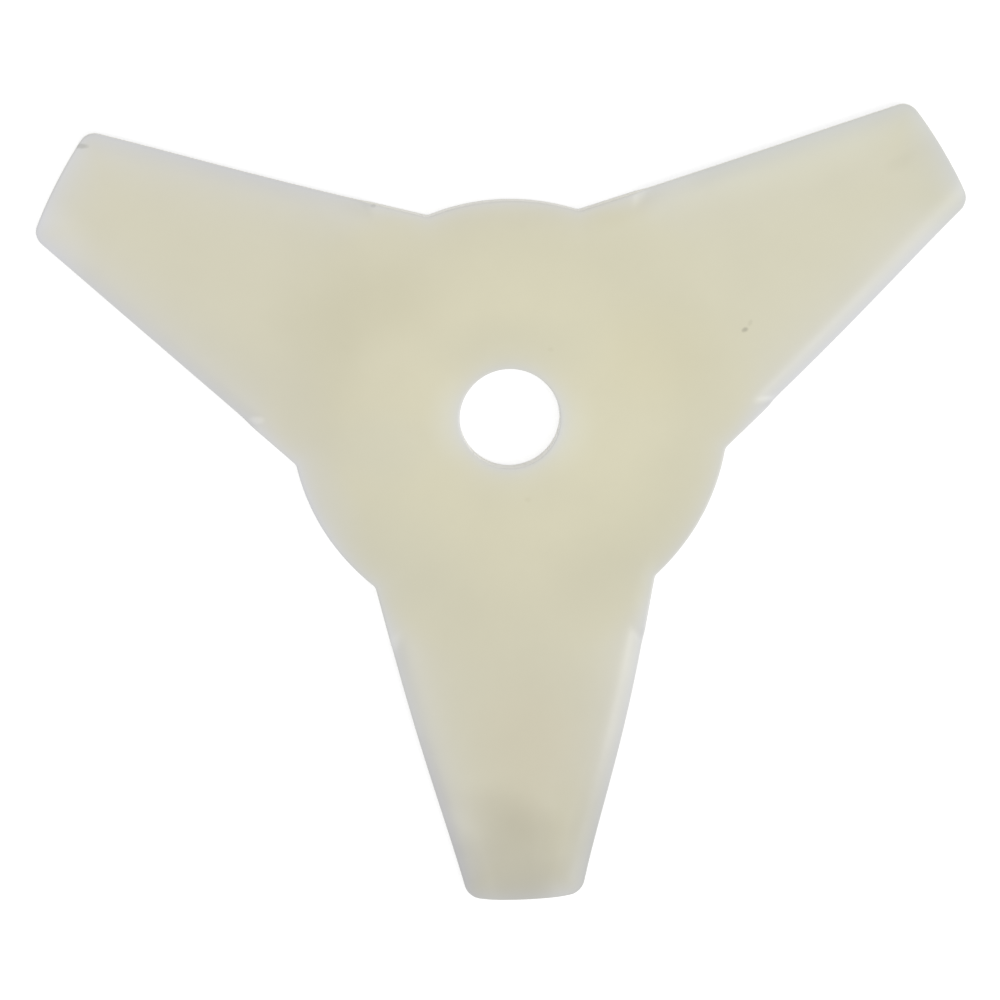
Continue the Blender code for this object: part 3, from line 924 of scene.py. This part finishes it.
def seen_directly(tree):
    """1 for rays that come from the camera, straight, by reflection or through glass."""
    path = add_node(tree, "ShaderNodeLightPath").outputs
    glossy = calc(tree, "MAXIMUM", path["Is Camera Ray"], path["Is Glossy Ray"])
    return calc(tree, "MAXIMUM", glossy, path["Is Transmission Ray"])


floor_mesh = bpy.data.meshes.new("floor")
floor_height = (-THICKNESS / 2 - FLOOR_GAP) * MM
corners = [(x * FLOOR_REACH, y * FLOOR_REACH, floor_height) for x, y in ((-1, -1), (1, -1), (1, 1), (-1, 1))]
floor_mesh.from_pydata(corners, [], [(0, 1, 2, 3)])
floor = bpy.data.objects.new("floor", floor_mesh)
bpy.context.scene.collection.objects.link(floor)
card = bpy.data.materials.new("pale_card")
card.use_nodes = True
card_shader = card.node_tree.nodes["Principled BSDF"]
card_shader.inputs["Base Color"].default_value = (FLOOR_GREY, FLOOR_GREY, FLOOR_GREY, 1.0)
card_shader.inputs["Roughness"].default_value = 0.9
card_shader.inputs["Specular IOR Level"].default_value = 0.0
card_shader.inputs["Emission Color"].default_value = (1.0, 1.0, 1.0, 1.0)
glow = calc(card.node_tree, "MULTIPLY", seen_directly(card.node_tree), FLOOR_GLOW)
feed(card.node_tree, card_shader.inputs["Emission Strength"], glow)
floor.data.materials.append(card)

world = bpy.data.worlds.new("studio")
world.use_nodes = True
bpy.context.scene.world = world
sky = world.node_tree
sky_light = sky.nodes["Background"]
sky_light.inputs["Color"].default_value = (1.0, 1.0, 1.0, 1.0)
straight = add_node(sky, "ShaderNodeLightPath").outputs["Is Camera Ray"]
feed(sky, sky_light.inputs["Strength"], calc(sky, "MULTIPLY_ADD", straight, 1.0 - AMBIENT, AMBIENT))
bpy.context.scene.view_settings.view_transform = "Standard"
print("floor at", round(floor_height / MM, 2), "mm, even light of", AMBIENT)

# %% [markdown]
# One broad lamp stands low at the right. It brightens the bevels that face it and dims those that
# face away, and its soft reflection follows the rounded line where a bevel meets the face.
# Together with the even light it makes a white sheet lying flat come out just white.

# %% Set the lamp
KEY_TILT = 42.0  # degrees from straight above
KEY_AZIMUTH = -28.0
KEY_SHARE = 0.16  # of the light on a flat sheet
KEY_BREADTH = 32.0  # degrees of sky that the lamp fills, which sets how soft it is


def point_along(obj, right, up, back):
    """Turns an object so that its own axes lie along three given directions."""
    obj.matrix_world = Matrix((right, up, back)).transposed().to_4x4()


key_direction = Vector((
    math.sin(math.radians(KEY_TILT)) * math.cos(math.radians(KEY_AZIMUTH)),
    math.sin(math.radians(KEY_TILT)) * math.sin(math.radians(KEY_AZIMUTH)),
    math.cos(math.radians(KEY_TILT))))
key = bpy.data.lights.new("key", "SUN")
key.angle = math.radians(KEY_BREADTH)
key.energy = KEY_SHARE * math.pi / key_direction.z
lamp = bpy.data.objects.new("key", key)
bpy.context.scene.collection.objects.link(lamp)
side = key_direction.cross(Vector((0.0, 0.0, 1.0))).normalized()
point_along(lamp, side, key_direction.cross(side), key_direction)
lamp.location = key_direction * 2.0
print("lamp:", KEY_SHARE, "of the light, from", KEY_TILT, "degrees off straight above")

# %% [markdown]
# The photograph was taken from almost straight above, a little from the far side, with a long
# lens. The camera's place and directions were found by laying this outline over the blade in the
# photograph. It has no shift and no depth of field.

# %% Set the camera
CAMERA_PLACE = Vector((-32.83, 154.83, 823.34))  # mm from the middle of the bore
CAMERA_BACK = Vector((-0.03526, 0.20904, 0.97727))  # from what it looks at towards the camera
CAMERA_UP = Vector((0.04051, 0.97737, -0.20760))
LENS = 119.2  # mm, for a picture 36 mm wide
camera_data = bpy.data.cameras.new("camera")
camera_data.sensor_width = 36.0
camera_data.lens = LENS
camera_data.clip_start = 0.01
camera_data.clip_end = 50.0
camera = bpy.data.objects.new("camera", camera_data)
bpy.context.scene.collection.objects.link(camera)
camera_back = CAMERA_BACK.normalized()
camera_right = CAMERA_UP.cross(camera_back).normalized()
point_along(camera, camera_right, camera_back.cross(camera_right), camera_back)
camera.location = CAMERA_PLACE * MM
bpy.context.scene.camera = camera
print("camera looks down", round(math.degrees(math.acos(camera_back.z)), 1), "degrees from straight above")
